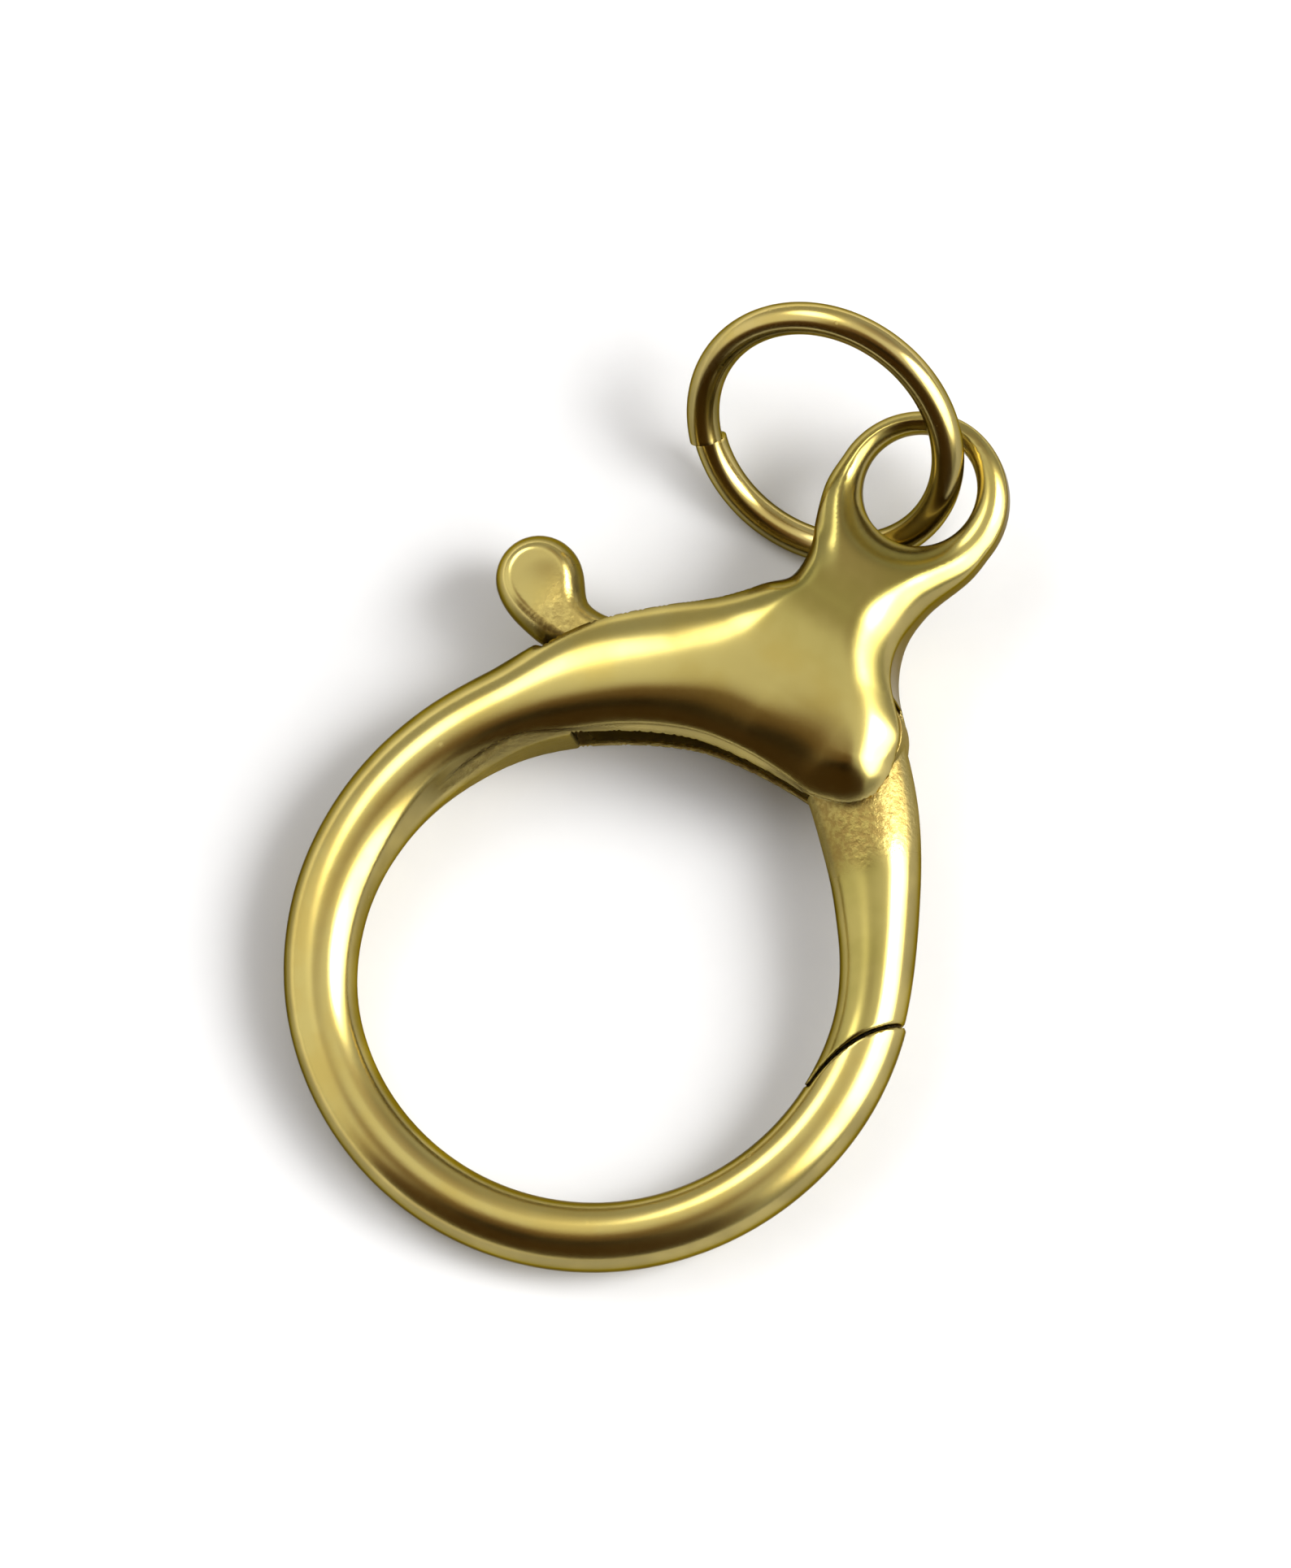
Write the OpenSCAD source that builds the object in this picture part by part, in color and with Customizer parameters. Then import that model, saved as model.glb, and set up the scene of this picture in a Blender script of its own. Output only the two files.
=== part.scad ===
// Charm holder clasp: a round claw with a pillow head, a trigger gate on a
// hidden pin and a jump ring on the bail.
// The casting is drawn lying flat about its mid-plane, with the centre of the
// claw at the origin and the bail towards +Y. resting() then lays it on the
// floor, where it leans on the belly of the head and the far side of the claw.
// All sizes are millimetres.

/* [Claw] */
// Outer diameter of the round claw
claw_od = 20; // [19.8:0.1:20.2]
// Width of the claw's section, across the ring
claw_w = 2.25; // [2.1:0.05:2.35]
// Thickness of the claw's section
claw_t = 2.3; // [2.1:0.1:2.4]

/* [Head] */
// Thickness of the head at its crown
head_t = 4.9; // [4.7:0.1:5.2]
// Height of the slot that the lever swings in
slot_t = 2.7; // [2.6:0.05:2.8]
// Width of the flat lip along the inner rim of the head
lip_w = 0.38; // [0.3:0.02:0.44]

/* [Bail] */
// Outer diameter of the bail loop
bail_od = 5.6; // [5.4:0.1:5.8]
// Diameter of the bail's hole
bail_hole_d = 3.6; // [3.3:0.1:3.7]
// Thickness of the bail loop
bail_t = 1.65; // [1.5:0.05:1.8]

/* [Gate lever] */
// Thickness of the lever, gate and thumb piece
lever_t = 2.4; // [2.3:0.05:2.45]
// Diameter of the thumb piece
thumb_d = 2.85; // [2.7:0.05:3]
// Gap along the seam between gate and claw tip
seam_gap = 0.08; // [0.06:0.01:0.12]
// Diameter of the hidden pivot pin
pin_d = 1.2; // [1.1:0.05:1.3]
// Radial clearance of the lever on the pin
pin_play = 0.03; // [0.02:0.01:0.05]

/* [Jump ring] */
// Diameter of the jump ring's wire
wire_d = 1.04; // [0.98:0.02:1.08]
// Diameter of the jump ring, from wire centre to wire centre
ring_mean_d = 8.3; // [8.2:0.05:8.4]
// Slant of the jump ring to the floor, in degrees
ring_slant = 46.5; // [45.5:0.5:47.5]

/* [Hidden] */
$fn = 64;

// How the clasp lies: the slope of its mid-plane and the height of the claw's centre
rest_slope = 4.07;
claw_mid_r = (claw_od - claw_w) / 2;
rest_lift = claw_t / 2 + claw_mid_r * sin(rest_slope);
// Distance from the middle of the whole part back to the claw's centre
origin_back = 5.55;

// Slices of the claw and head, seen from the claw's centre. Angles run from
// the tip of the claw, clockwise round the claw, to the heel of the head.
// [angle, inner radius, outer radius, half thickness, lip share]
claw_inner = claw_od / 2 - claw_w;
body_slices = [
    [  30, claw_inner,        claw_od / 2 + 0.1,  claw_t / 2 - 0.05, 0],
    [   5, claw_inner,        claw_od / 2 + 0.06, claw_t / 2,        0],
    [ -20, claw_inner,        claw_od / 2,        claw_t / 2,        0],
    [ -60, claw_inner,        claw_od / 2,        claw_t / 2,        0],
    [-130, claw_inner - 0.05, claw_od / 2,        claw_t / 2,        0],
    [-155, claw_inner - 0.3,  claw_od / 2 - 0.08, claw_t / 2 + 0.1,  0],
    [-178, claw_inner - 0.6,  claw_od / 2 - 0.2,  claw_t / 2 + 0.25, 0.1],
    [-200, 6.95,              9.75,               1.6,               0.4],
    [-216, 6.98,              9.85,               1.85,              0.8],
    [-229, 7.0,               10.35,              2.08,              1],
    [-241, 7.06,              10.95,              2.28,              1],
    [-251, 7.22,              11.65,              head_t / 2 - 0.05, 1],
    [-262, 7.48,              12.5,               head_t / 2,        1],
    [-272, 7.68,              13.0,               head_t / 2,        1],
    [-281, 7.96,              13.05,              head_t / 2,        1],
    [-286.5, 8.22,            12.5,               2.4,               1],
    [-290, 8.45,              11.95,              2.33,              1],
    [-293, 8.72,              11.35,              2.25,              1],
    [-295, 8.98,              10.95,              2.16,              1],
    [-296.5, 9.25,            10.6,               2.07,              1],
    [-297.3, 9.55,            10.2,               1.98,              1],
];
// Turn between slices, coarse along the claw and fine at the heel
claw_step = 3;
heel_from = 282;
heel_step = 1.3;
// Lip of the inner rim: where its flat starts and ends above the mid-plane
lip_low = slot_t / 2 + 0.2;
lip_rise = 0.32;

// Slices of the neck between head and bail
// [y, middle x, half width, half thickness, power of the slice's curve]
neck_slices = [
    [10.6, -0.25, 3.9,  1.9,  0.6],
    [11.2, -0.12, 3.5,  2.1,  0.6],
    [11.8, -0.02, 3.06, 2.08, 0.6],
    [12.4, 0.1,   2.6,  1.92, 0.6],
    [12.9, 0.21,  2.32, 1.72, 0.65],
    [13.7, 0.26,  2.05, 1.42, 0.75],
    [14.5, 0.21,  2.05, 1.2,  0.85],
    [15.3, 0.13,  2.3,  0.98, 0.9],
    [15.9, 0.04,  2.55, 0.83, 0.95],
    [16.6, 0,    2.68, 0.76, 1],
    [17.0, 0,    2.66, 0.62, 1],
];
neck_step = 0.3;
// Centres of the bail's outer circle and of its hole, the turn between the
// slices of its loop, and the distance that the neck keeps from the hole
bail_y = 17.72;
bail_hole_y = 18.0;
bail_step = 12;
neck_clear = 0.15;

// Pivot of the lever, its boss, and half the pin's length with the play at its ends
pivot = [2.8, 10.4];
boss_r = 1.5;
pin_half = 1.95;
pin_end_play = 0.05;

// Arc along which the gate meets the tip of the claw
seam_centre = [12.78, 0.33];
seam_r = 4.8;

// Outline of the slot in the head, open at the inner rim, at the back and at
// the right, with solid metal on the left and under the neck
slot_outline = [
    [-3.6, 5.75], [-2.5, 4.0], [7, 4.0], [7, 11.6], [4.3, 11.75], [3.2, 12.1], [-1, 12.25], [-2.6, 12.55],
    [-4, 14.5], [-10, 11], [-8.4, 6.9], [-6.9, 7.1],
];
// Block on the gate's side of the claw's tip: its corner and its plan
tip_clear = [4, 0.4];
tip_clear_size = [8, 6];

// Slices of the gate, from the claw up to its root under the head
// [angle, inner radius, outer radius, half thickness]
gate_slices = [
    [3,    claw_inner, claw_od / 2, claw_t / 2],
    [20,   7.75, 9.98,  claw_t / 2],
    [33,   7.68, 10.06, lever_t / 2],
    [43,   7.64, 10.3,  lever_t / 2],
    [52,   7.72, 10.72, lever_t / 2],
    [60,   7.86, 11.2,  lever_t / 2],
    [66,   8.05, 11.58, 1.18],
    [72,   8.3,  12.0,  1.05],
];
gate_step = 3;

// Slices of the thumb piece's tail, from the knob into the slot
// [x, y, half width, half thickness]
tail_slices = [
    [-8.45, 9.0,  1.15, 0.95],
    [-7.75, 8.45, 1.08, 1.1],
    [-7.0,  8.2,  0.9,  lever_t / 2],
    [-6.1,  8.25, 0.82, lever_t / 2],
    [-5.0,  8.6,  0.8,  lever_t / 2],
    [-3.8,  9.05, 0.78, lever_t / 2],
];
// Centre of the knob, and the width of its rounded edge
thumb_centre = [-8.4, 8.98];
thumb_edge = 0.8;
// Lever inside the slot, from the tail to the pivot and on to the gate
lever_outline = [
    [-4.9, 7.95], [-1, 8.75], [1.4, 9.1], [2.8, 8.45], [4.3, 9.5],
    [4.0, 10.7], [3.1, 11.8], [1.8, 11.5], [-1, 10.6], [-4.9, 9.35],
];

// Centre of the jump ring over the floor, and the heading of its lowest point
ring_centre = [-3.58, 17.7];
ring_heading = -82.2;
ring_lift = ring_mean_d / 2 * sin(ring_slant) + wire_d / 2;
// Butt joint of the jump ring: its place round the ring and the gap between the ends
joint_angle = 303;
joint_gap = 0.06;

// Smooth value at key t in a table of rows that are sorted by their first column
function row_before(t, rows, i = 0) =
    i >= len(rows) - 2 || t <= rows[i + 1][0] ? i : row_before(t, rows, i + 1);
function slope_at(rows, i) =
    i == 0 ? (rows[1] - rows[0]) / (rows[1][0] - rows[0][0]) :
    i == len(rows) - 1 ? (rows[i] - rows[i - 1]) / (rows[i][0] - rows[i - 1][0]) :
    (rows[i + 1] - rows[i - 1]) / (rows[i + 1][0] - rows[i - 1][0]);
function smooth_row(t, rows) =
    let (i = row_before(t, rows), h = rows[i + 1][0] - rows[i][0],
         u = (t - rows[i][0]) / h, u2 = u * u, u3 = u2 * u)
    (2 * u3 - 3 * u2 + 1) * rows[i] + (u3 - 2 * u2 + u) * h * slope_at(rows, i)
    + (3 * u2 - 2 * u3) * rows[i + 1] + (u3 - u2) * h * slope_at(rows, i + 1);
// Same rows with the first column turned round, so that it rises
function rising(rows) = [for (row = rows) concat([-row[0]], [for (k = [1:len(row) - 1]) row[k]])];
// Even steps from one key to another, both ends kept
function steps(from, to, step) =
    let (n = ceil((to - from) / step)) [for (i = [0:n]) from + (to - from) * i / n];

// Sine and cosine bent towards a square, so that a slice gets fuller shoulders
function full_sin(a, power) = sign(sin(a)) * pow(abs(sin(a)), power);
function full_cos(a, power) = sign(cos(a)) * pow(abs(cos(a)), power);

// Upper half of a slice, from inner to outer side: [offset from inner side, height]
// On the claw it starts at round_start with a trace of a lip. On the head its
// curve is fuller, by the share head_fullness.
crown_points = 12;
round_start = 9;
claw_lip = 0.03;
claw_low = 0.08;
head_fullness = 0.16;
function crown(width, half, lip) =
    let (low = lip * lip_low + (1 - lip) * half * claw_low,
         top = lip * (lip_low + lip_rise) + (1 - lip) * half * sin(round_start),
         flat = lip * lip_w + (1 - lip) * claw_lip,
         power = 1 - head_fullness * lip,
         from = asin(pow(top / half, 1 / power)),
         head = full_cos(from, power),
         tail = full_cos(round_start, power))
    concat([[0, low]], [for (i = [0:crown_points - 1])
        let (a = from + (180 - round_start - from) * i / (crown_points - 1))
        [flat + (width - flat) * (head - full_cos(a, power)) / (head + tail), half * full_sin(a, power)]]);
// Closed slice, down the outer side and back along the underside
function whole_slice(top) =
    concat(top, [for (i = [len(top) - 1:-1:0]) [top[i][0], -top[i][1]]]);
function oval(half_w, half_t, sides, power = 1) =
    [for (i = [0:sides - 1]) let (a = 360 * (i + 0.5) / sides)
        [half_w * full_cos(a, power), half_t * full_sin(a, power)]];

// Skin over a list of slices, each a closed loop with the same number of points
module skin(slices, closed = false) {
    m = len(slices[0]);
    n = len(slices);
    last = closed ? n - 1 : n - 2;
    sides = [for (i = [0:last], j = [0:m - 1], k = [0, 1])
        let (a = i * m + j, b = i * m + (j + 1) % m,
             c = ((i + 1) % n) * m + (j + 1) % m, d = ((i + 1) % n) * m + j)
        k == 0 ? [a, b, c] : [a, c, d]];
    caps = closed ? [] : [
        [for (j = [m - 1:-1:0]) j],
        [for (j = [0:m - 1]) (n - 1) * m + j]];
    polyhedron(points = [for (slice = slices, p = slice) p], faces = concat(sides, caps));
}

// Slice points put at an angle round the claw's centre
function polar_slice(angle, inner, points) =
    [for (p = points) [(inner + p[0]) * cos(angle), (inner + p[0]) * sin(angle), p[1]]];

module resting() {
    translate([0, -origin_back, rest_lift]) rotate([rest_slope, 0, 0]) children();
}

// Claw and head in one sweep, before the slot is cut
module body_sweep() {
    rows = rising(body_slices);
    claw_turns = steps(rows[0][0], heel_from, claw_step);
    heel_turns = steps(heel_from + heel_step, rows[len(rows) - 1][0], heel_step);
    skin([for (t = concat(claw_turns, heel_turns))
        let (row = smooth_row(t, rows))
        polar_slice(-t, row[1], whole_slice(crown(row[2] - row[1], row[3], row[4])))]);
}

// Neck, flared to the head and to the bail
module neck() {
    sides = 28;
    difference() {
        skin([for (y = steps(neck_slices[0][0], neck_slices[len(neck_slices) - 1][0], neck_step))
            let (row = smooth_row(y, neck_slices))
            [for (p = oval(row[2], row[3], sides, row[4])) [row[1] + p[0], y, p[1]]]]);
        translate([0, bail_hole_y, 0])
            cylinder(d = bail_hole_d + 2 * neck_clear, h = 3 * bail_t, center = true);
    }
}

// Loop of the bail, thinner at its top
module bail_loop() {
    sides = 14;
    offset_y = bail_hole_y - bail_y;
    skin([for (a = [0:bail_step:360 - bail_step])
        let (outer = bail_od / 2,
             inner = bail_hole_d / 2 + offset_y * sin(a),
             middle = (outer + inner) / 2)
        [for (p = oval((outer - inner) / 2, bail_t / 2, sides))
            [(middle + p[0]) * cos(a), bail_y + (middle + p[0]) * sin(a), p[1]]]], closed = true);
}

// What lies on the claw's side of the seam, and the seam gap where extra is given
module seam_side(extra = 0) {
    translate(seam_centre) cylinder(r = seam_r + extra, h = 2 * claw_t, center = true);
}

module clasp_body() {
    color("goldenrod") resting() difference() {
        union() {
            body_sweep();
            neck();
            bail_loop();
        }
        linear_extrude(slot_t, center = true) polygon(slot_outline);
        translate(pivot) cylinder(d = pin_d + 2 * pin_play, h = 2 * (pin_half + pin_end_play), center = true);
        // Everything on the gate's side of the seam comes off the claw's tip
        difference() {
            linear_extrude(2 * claw_t, center = true) translate(tip_clear) square(tip_clear_size);
            seam_side();
        }
    }
}

// Curved gate that closes the claw
module gate() {
    sides = 18;
    difference() {
        skin([for (t = steps(gate_slices[0][0], gate_slices[len(gate_slices) - 1][0], gate_step))
            let (row = smooth_row(t, gate_slices), half_w = (row[2] - row[1]) / 2)
            polar_slice(t, row[1] + half_w, oval(half_w, row[3], sides))]);
        seam_side(seam_gap);
    }
}

// Round knob of the thumb piece
module knob() {
    rim_turn = 15;
    half_t = lever_t / 2;
    rim = [for (a = [90:-rim_turn:-90])
        [thumb_d / 2 - thumb_edge + thumb_edge * cos(a), half_t * sin(a)]];
    translate(thumb_centre) rotate_extrude() polygon(concat([[0, half_t]], rim, [[0, -half_t]]));
}

// Tail that runs from the knob into the slot
module tail() {
    n = len(tail_slices);
    sides = 18;
    skin([for (i = [0:n - 1])
        let (row = tail_slices[i], before = tail_slices[max(i - 1, 0)], after = tail_slices[min(i + 1, n - 1)],
             heading = atan2(after[1] - before[1], after[0] - before[0]))
        [for (p = oval(row[2], row[3], sides))
            [row[0] + p[0] * sin(heading), row[1] - p[0] * cos(heading), p[1]]]]);
}

module gate_lever() {
    color("gold") resting() difference() {
        union() {
            gate();
            knob();
            tail();
            linear_extrude(lever_t, center = true) {
                polygon(lever_outline);
                translate(pivot) circle(boss_r);
            }
        }
        translate(pivot) cylinder(d = pin_d + 2 * pin_play, h = 2 * lever_t, center = true);
    }
}

module pivot_pin() {
    color("darkgoldenrod") resting() translate(pivot)
        cylinder(d = pin_d, h = 2 * pin_half, center = true);
}

// Open wire ring, slanting from the floor up over the bail
module jump_ring() {
    cut = 360 * joint_gap / (PI * ring_mean_d);
    color("khaki")
        translate([ring_centre[0], ring_centre[1] - origin_back, ring_lift])
        rotate([0, 0, ring_heading]) rotate([0, ring_slant, 0]) rotate([0, 0, joint_angle])
        rotate_extrude(angle = 360 - cut) translate([ring_mean_d / 2, 0]) circle(d = wire_d);
}

clasp_body();
gate_lever();
pivot_pin();
jump_ring();
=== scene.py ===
"""Charm holder clasp in polished brass: casting, trigger lever, pivot pin and jump ring.

The casting and the lever are worked out as smooth solids in millimetres, in the clasp's own
frame: the centre of the claw is the origin and the bail lies towards +Y. Rest then lays them on
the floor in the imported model's frame, in metres.
"""
import logging
import math
from dataclasses import dataclass, field
from enum import Enum
from typing import Callable, Optional, Sequence, Union

import bpy
import numpy as np
from mathutils import Matrix, Vector


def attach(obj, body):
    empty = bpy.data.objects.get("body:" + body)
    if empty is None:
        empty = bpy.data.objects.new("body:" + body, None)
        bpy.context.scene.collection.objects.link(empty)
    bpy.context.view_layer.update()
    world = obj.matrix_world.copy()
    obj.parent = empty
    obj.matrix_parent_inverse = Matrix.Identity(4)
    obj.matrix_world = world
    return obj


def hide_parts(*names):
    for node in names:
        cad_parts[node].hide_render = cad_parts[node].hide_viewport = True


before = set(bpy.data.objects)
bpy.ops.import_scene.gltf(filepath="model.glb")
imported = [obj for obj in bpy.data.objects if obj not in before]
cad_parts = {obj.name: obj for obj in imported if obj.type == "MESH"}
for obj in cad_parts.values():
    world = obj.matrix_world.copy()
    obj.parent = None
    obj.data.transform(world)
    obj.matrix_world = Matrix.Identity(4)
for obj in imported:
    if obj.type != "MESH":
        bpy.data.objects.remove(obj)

LOG = logging.getLogger("charm_holder_clasp")
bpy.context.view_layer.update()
MM = 0.001
# Upward part of a normal between which a surface stops getting painted side shade
SIDE_SHADE_TO_TOP = (0.6, 0.8)
TINY = 1e-9

Array = np.ndarray
Field = Callable[[Array, Array, Array], Array]


# Smooth solids


def smooth_max(a: Array, b: Array, width: float) -> Array:
    """Larger of two fields, with the edge between them rounded over a width in millimetres."""
    overlap = np.maximum(width - np.abs(a - b), 0.0) / width
    return np.maximum(a, b) + overlap * overlap * width * 0.25


def smooth_min(a: Array, b: Array, width: float) -> Array:
    """Smaller of two fields, with a fillet between them over a width in millimetres."""
    return -smooth_max(-a, -b, width)


def smooth_step(value: Array, low: float, high: float) -> Array:
    """Zero at low, one at high, and smooth between them."""
    share = np.clip((value - low) / (high - low), 0.0, 1.0)
    return share * share * (3.0 - 2.0 * share)


def bump_at(value: Array, middle: float, half_width: float) -> Array:
    """One at the middle, falling smoothly to nothing at half_width from it."""
    share = np.clip(np.abs(value - middle) / half_width, 0.0, 1.0)
    return (1.0 - share * share) ** 2


class SliceTable:
    """Smooth values between slices that are given at rising keys."""

    def __init__(self, rows: Sequence[Sequence[float]], softness: float, step: float) -> None:
        """Samples the rows densely and rounds off what bends sharply at a slice.

        Args:
            rows: Slices, each a key and its values, sorted by key.
            softness: How far along the keys a bend is spread.
            step: Distance between samples.
        """
        data = np.array(rows, float)
        keys = data[:, 0]
        slopes = np.gradient(data[:, 1:], keys, axis=0, edge_order=1)
        slopes[1:-1] = (data[2:, 1:] - data[:-2, 1:]) / (keys[2:] - keys[:-2])[:, None]
        count = int(round((keys[-1] - keys[0]) / step)) + 1
        self.keys = np.linspace(keys[0], keys[-1], count)
        before = np.clip(np.searchsorted(keys, self.keys, side="right") - 1, 0, len(keys) - 2)
        span = (keys[before + 1] - keys[before])[:, None]
        u = (self.keys[:, None] - keys[before][:, None]) / span
        start, end = data[before, 1:], data[before + 1, 1:]
        values = ((2 * u**3 - 3 * u**2 + 1) * start + (u**3 - 2 * u**2 + u) * span * slopes[before]
                  + (3 * u**2 - 2 * u**3) * end + (u**3 - u**2) * span * slopes[before + 1])
        self.columns = list(self.spread(values, softness / step).T)

    @staticmethod
    def spread(values: Array, samples: float) -> Array:
        """Averages each column along itself, with straight ends carried on.

        Args:
            values: One row for each sample.
            samples: Spread of the average, in samples.

        Returns:
            The averaged rows.
        """
        reach = max(int(3 * samples), 1)
        weights = np.exp(-0.5 * (np.arange(-reach, reach + 1) / samples) ** 2)
        weights /= weights.sum()
        padded = np.pad(values, ((reach, reach), (0, 0)), mode="reflect", reflect_type="odd")
        return np.stack([np.convolve(column, weights, mode="valid") for column in padded.T], 1)

    def look_up(self, key: Array) -> list[Array]:
        """Values of every column at the keys, held at the first and last slice."""
        return [np.interp(key, self.keys, column) for column in self.columns]


def polygon_field(x: Array, y: Array, corners: Sequence[Sequence[float]]) -> Array:
    """Signed distance to a closed outline, negative inside it.

    Args:
        x: Positions along X.
        y: Positions along Y.
        corners: Corners of the outline in order.

    Returns:
        The distance at each position.
    """
    shape = np.broadcast(x, y).shape
    nearest = np.full(shape, np.inf)
    inside = np.zeros(shape, bool)
    for start, end in zip(corners, list(corners[1:]) + [corners[0]]):
        run_x, run_y = end[0] - start[0], end[1] - start[1]
        off_x, off_y = x - start[0], y - start[1]
        share = np.clip((off_x * run_x + off_y * run_y) / (run_x**2 + run_y**2), 0.0, 1.0)
        nearest = np.minimum(nearest, np.hypot(off_x - share * run_x, off_y - share * run_y))
        if run_y != 0.0:
            crosses = (start[1] > y) != (end[1] > y)
            inside ^= crosses & (off_x < run_x * off_y / run_y)
    return np.where(inside, -nearest, nearest)


def slab_field(z: Array, half: float) -> Array:
    """Distance outside a level slab about the mid-plane."""
    return np.abs(z) - half


@dataclass
class Skin:
    """A closed surface in the clasp's frame, with its outward directions."""

    points: Array
    faces: Array
    normals: Array


@dataclass(frozen=True)
class FieldMesher:
    """Turns a smooth solid into one closed mesh of even quads."""

    nudge: float = 0.012
    least_slope: float = 0.05
    longest_step: float = 0.5
    relax_share: float = 0.5
    relax_rounds: int = 2
    settle_rounds: int = 3
    last_rounds: int = 2

    def gradient(self, solid: Field, points: Array) -> tuple[Array, Array]:
        """Value and slope of a field at points.

        Args:
            solid: The field.
            points: Positions, one row each.

        Returns:
            The values, and the slopes as rows.
        """
        corners = np.array([[1, -1, -1], [-1, -1, 1], [-1, 1, -1], [1, 1, 1]], float)
        total = np.zeros(len(points))
        slope = np.zeros_like(points)
        for corner in corners:
            moved = points + corner * self.nudge
            value = solid(moved[:, 0], moved[:, 1], moved[:, 2])
            total += value
            slope += value[:, None] * corner
        return total / 4, slope / (4 * self.nudge)

    def settle(self, solid: Field, points: Array, rounds: int, limit: float) -> Array:
        """Moves points onto the surface.

        Args:
            solid: The field.
            points: Positions near the surface, one row each.
            rounds: Number of steps.
            limit: Longest step.

        Returns:
            The moved points.
        """
        for _ in range(rounds):
            value, slope = self.gradient(solid, points)
            size = np.maximum((slope**2).sum(1), self.least_slope)
            step = -(value / size)[:, None] * slope
            length = np.linalg.norm(step, axis=1, keepdims=True)
            points = points + step * np.minimum(1.0, limit / np.maximum(length, TINY))
        return points

    def facing(self, solid: Field, points: Array) -> Array:
        """Outward directions of the surface at points."""
        _, slope = self.gradient(solid, points)
        return slope / np.maximum(np.linalg.norm(slope, axis=1, keepdims=True), TINY)

    def relax(self, points: Array, faces: Array, normals: Array) -> Array:
        """Slides points along the surface towards the middle of their neighbours.

        Args:
            points: Positions, one row each.
            faces: Quads as numbers of points.
            normals: Outward directions at the points.

        Returns:
            The moved points.
        """
        total = np.zeros_like(points)
        count = np.zeros(len(points))
        for here, there in ((0, 1), (1, 2), (2, 3), (3, 0)):
            for a, b in ((here, there), (there, here)):
                np.add.at(count, faces[:, a], 1.0)
                for axis in range(3):
                    total[:, axis] += np.bincount(faces[:, a], points[faces[:, b], axis], len(points))
        shift = total / count[:, None] - points
        shift -= (shift * normals).sum(1)[:, None] * normals
        return points + self.relax_share * shift

    def skin(self, solid: Field, axes: tuple[Array, Array, Array]) -> Skin:
        """Meshes where the field changes sign on a grid.

        Args:
            solid: The field, negative inside.
            axes: Rising grid positions along X, Y and Z.

        Returns:
            The closed surface.
        """
        xs, ys, zs = axes
        values = solid(xs[:, None, None], ys[None, :, None], zs[None, None, :])
        inside = values < 0.0
        count = np.zeros(tuple(n - 1 for n in inside.shape), np.int8)
        for dx in (0, 1):
            for dy in (0, 1):
                for dz in (0, 1):
                    count += inside[dx:inside.shape[0] - 1 + dx, dy:inside.shape[1] - 1 + dy,
                                    dz:inside.shape[2] - 1 + dz]
        cells = np.argwhere((count > 0) & (count < 8))
        number = np.full(count.shape, -1, np.int64)
        number[tuple(cells.T)] = np.arange(len(cells))
        points = self._cell_points(values, cells, axes)
        faces = self._faces(inside, number)
        limit = self.longest_step * float(xs[1] - xs[0])
        points = self.settle(solid, points, self.settle_rounds, limit)
        for _ in range(self.relax_rounds):
            relaxed = self.relax(points, faces, self.facing(solid, points))
            points = self.settle(solid, relaxed, 1, limit)
        points = self.settle(solid, points, self.last_rounds, limit)
        return Skin(points, faces, self.facing(solid, points))

    def _cell_points(self, values: Array, cells: Array, axes: tuple[Array, Array, Array]) -> Array:
        """Middle of the places where the surface crosses each cell's edges.

        Args:
            values: The field on the grid.
            cells: Grid numbers of the cells that the surface crosses.
            axes: Grid positions along X, Y and Z.

        Returns:
            One point for each cell.
        """
        total = np.zeros((len(cells), 3))
        count = np.zeros(len(cells))
        for axis in range(3):
            others = [other for other in range(3) if other != axis]
            for first in (0, 1):
                for second in (0, 1):
                    start = cells.copy()
                    start[:, others[0]] += first
                    start[:, others[1]] += second
                    end = start.copy()
                    end[:, axis] += 1
                    low, high = values[tuple(start.T)], values[tuple(end.T)]
                    crosses = (low < 0.0) != (high < 0.0)
                    share = np.where(crosses, low / np.where(crosses, low - high, 1.0), 0.0)
                    place = np.stack([grid[start[:, k]] for k, grid in enumerate(axes)], 1)
                    place[:, axis] += share * (axes[axis][end[:, axis]] - axes[axis][start[:, axis]])
                    total += place * crosses[:, None]
                    count += crosses
        return total / np.maximum(count, 1)[:, None]

    @staticmethod
    def _faces(inside: Array, number: Array) -> Array:
        """Quads round every grid edge that crosses the surface, facing outwards.

        Args:
            inside: Whether each grid position is inside the solid.
            number: Number of the point in each cell.

        Returns:
            The quads as numbers of points.
        """
        quads = []
        for axis in range(3):
            second, third = (axis + 1) % 3, (axis + 2) % 3
            ahead = [slice(None)] * 3
            behind = [slice(None)] * 3
            ahead[axis], behind[axis] = slice(1, None), slice(None, -1)
            for side in (second, third):
                ahead[side] = behind[side] = slice(1, -1)
            from_inside, to_inside = inside[tuple(behind)], inside[tuple(ahead)]
            for leaving in (True, False):
                edges = np.argwhere((from_inside & ~to_inside) if leaving else (~from_inside & to_inside))
                corners = []
                for back_second, back_third in ((0, 0), (1, 0), (1, 1), (0, 1)):
                    cell = edges.copy()
                    cell[:, second] += 1 - back_second
                    cell[:, third] += 1 - back_third
                    corners.append(number[tuple(cell.T)])
                quads.append(np.stack(corners if leaving else corners[::-1], 1))
        return np.concatenate(quads)


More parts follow.
